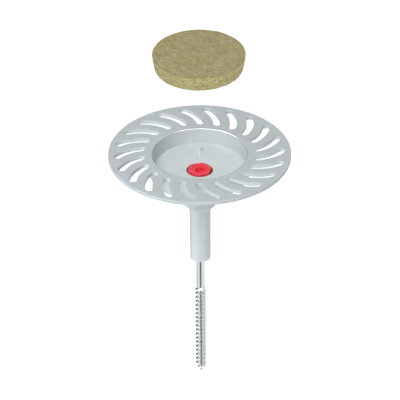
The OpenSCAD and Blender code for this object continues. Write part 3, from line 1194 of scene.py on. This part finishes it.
def gloss_boxes(tree, direction):
    """Light of the soft boxes in a direction."""
    total = 0
    for azimuth, elevation, strength in GLOSS_BOXES:
        near = tree.nodes.new("ShaderNodeVectorMath")
        near.operation = "DOT_PRODUCT"
        near.inputs[1].default_value = towards(azimuth, elevation)
        tree.links.new(direction, near.inputs[0])
        box = span(tree, near.outputs["Value"], BOX_OUTER, BOX_INNER, 0, strength)
        total = calculate(tree, "ADD", box, total)
    return total


def first_gloss(tree):
    """1 for gloss that the camera sees directly, and 0 for gloss that lights another face."""
    path = tree.nodes.new("ShaderNodeLightPath")
    direct = calculate(tree, "LESS_THAN", path.outputs["Diffuse Depth"], 0.5)
    return product(tree, direct, path.outputs["Is Glossy Ray"])


def low_cards(tree, x, y, z):
    """Darkness of a low card in front, and of a fainter one behind that fades to the right."""
    aside = calculate(tree, "ABSOLUTE", calculate(tree, "DIVIDE", x, y), 0)
    narrow = span(tree, aside, 0.2, 0.75, 1, 0)
    ahead = calculate(tree, "LESS_THAN", y, 0)
    front = product(tree, narrow, ahead, span(tree, z, 0.2, 0.05, 0, 1), 0.86)
    behind = span(tree, y, 0.15, 0.5, 0, 0.6)
    leftward = span(tree, x, 0.0, 0.3, 1, 0.25)
    back = product(tree, behind, leftward, span(tree, z, -0.05, -0.15, 0, 1))
    return largest(tree, front, back)


def horizon(tree, x, y, z):
    """Darkness of a band behind, from a little under the horizon to 25 degrees, that fades to the right."""
    under_top = span(tree, z, 0.43, 0.36, 0, 1)
    over_floor = span(tree, z, -0.05, -0.15, 1, 0)
    behind = span(tree, y, 0.2, 0.5, 0, 0.95)
    leftward = span(tree, x, 0.0, 0.3, 1, 0.6)
    return product(tree, under_top, over_floor, behind, leftward)


def gloss_light(tree, direction):
    """White as the background. Gloss also sees dark cards, a dark horizon, a grey ceiling and soft boxes."""
    parts = tree.nodes.new("ShaderNodeSeparateXYZ")
    tree.links.new(direction, parts.inputs["Vector"])
    x, y, z = [parts.outputs[axis] for axis in "XYZ"]
    ceiling = span(tree, z, 0.8, 0.93, 0, 0.75)
    dark = largest(tree, low_cards(tree, x, y, z), horizon(tree, x, y, z), ceiling)
    path = tree.nodes.new("ShaderNodeLightPath")
    white = calculate(tree, "SUBTRACT", 1, product(tree, dark, path.outputs["Is Glossy Ray"]))
    boxes = product(tree, gloss_boxes(tree, direction), first_gloss(tree))
    return calculate(tree, "ADD", white, boxes)


def add_world():
    """A white studio: it lights the object softly, and the camera and gloss see its white."""
    world = bpy.data.worlds.new("studio")
    world.use_nodes = True
    bpy.context.scene.world = world
    tree = world.node_tree
    background = tree.nodes["Background"]
    direction = tree.nodes.new("ShaderNodeTexCoord").outputs["Generated"]
    direct = seen_directly(tree)
    tree.links.new(blend_colours(tree, direct, WORLD_TINT, (1, 1, 1)), background.inputs["Color"])
    light = tree.nodes.new("ShaderNodeMix")
    tree.links.new(direct, light.inputs["Factor"])
    light.inputs["A"].default_value = WORLD_LEVEL
    tree.links.new(gloss_light(tree, direction), light.inputs["B"])
    tree.links.new(light.outputs["Result"], background.inputs["Strength"])


# Lamps as (name, azimuth, elevation, distance, size, power), in degrees, metres and watts. The low ones
# light the hub and the sleeve, and the cup as it shows in the slots. Gloss sees the plug's lamps only.
LAMPS = [
    ("key", -19, 42, 1.4, 0.6, 11.2),
    ("low_key", -26, 9, 1.4, 0.25, 2.6),
    ("top", -20, 75, 1.4, 0.6, 7.2),
    ("behind", 180, 38, 1.4, 0.6, 2.3),
    ("left_low", -45, -16, 1.4, 0.6, 6.3),
    ("left_side", -85, -12, 1.4, 0.6, 2.2),
    ("right_low", 83, -12, 1.4, 0.6, 7.2),
]
PLUG_LAMPS = [
    ("plug_left", -60, 12, 1.4, 0.6, 7.6),
    ("plug_right", 60, 12, 1.4, 0.6, 7.6),
    ("plug_top", -10, 65, 1.4, 0.6, 12.7),
]


def group(name, pieces):
    """A collection of pieces, for the lamps that light them or are shaded by them."""
    collection = bpy.data.collections.new(name)
    for piece in pieces:
        collection.objects.link(bpy.data.objects[piece])
    return collection


def studio():
    """Camera, floor, world and lamps. The plug hangs clear, in its own light."""
    add_camera()
    add_floor()
    add_world()
    hard = ["pressure_plate", "red_drive_head", "zinc_screw"]
    shaded_by = group("casts_shadows", hard)
    lit = group("lit_hard_pieces", hard + ["floor"])
    lit_plug = group("lit_plug", ["mineral_wool_plug", "wool_fibres"])
    for lamps, receivers in ((LAMPS, lit), (PLUG_LAMPS, lit_plug)):
        for lamp in lamps:
            linking = add_lamp(*lamp).light_linking
            linking.blocker_collection = shaded_by
            linking.receiver_collection = receivers
    for lamp in LAMPS:
        bpy.data.objects[lamp[0]].visible_glossy = False
    bpy.context.scene.view_settings.view_transform = "Standard"


# The pieces and the studio

washer_plate([plate_material(*finish) for finish in PLATE_FINISHES])
drive_head(head_material())
screw(steel_material())
wool_plug(
    wool_material(
        "wool_top",
        WOOL_TOP_TONES,
        turns=(-FIBRE_TURN, math.radians(12)),
        stretch=(0.32, 1, 1),
        size=0.8,
        clump_share=0.16,
    ),
    wool_material(
        "wool_side",
        WOOL_SIDE_TONES,
        turns=(0.0, math.radians(40)),
        stretch=(0.7, 0.7, 1),
        size=0.85,
        clump_share=0.06,
    ),
)
plug_fibres(fibre_material())
studio()
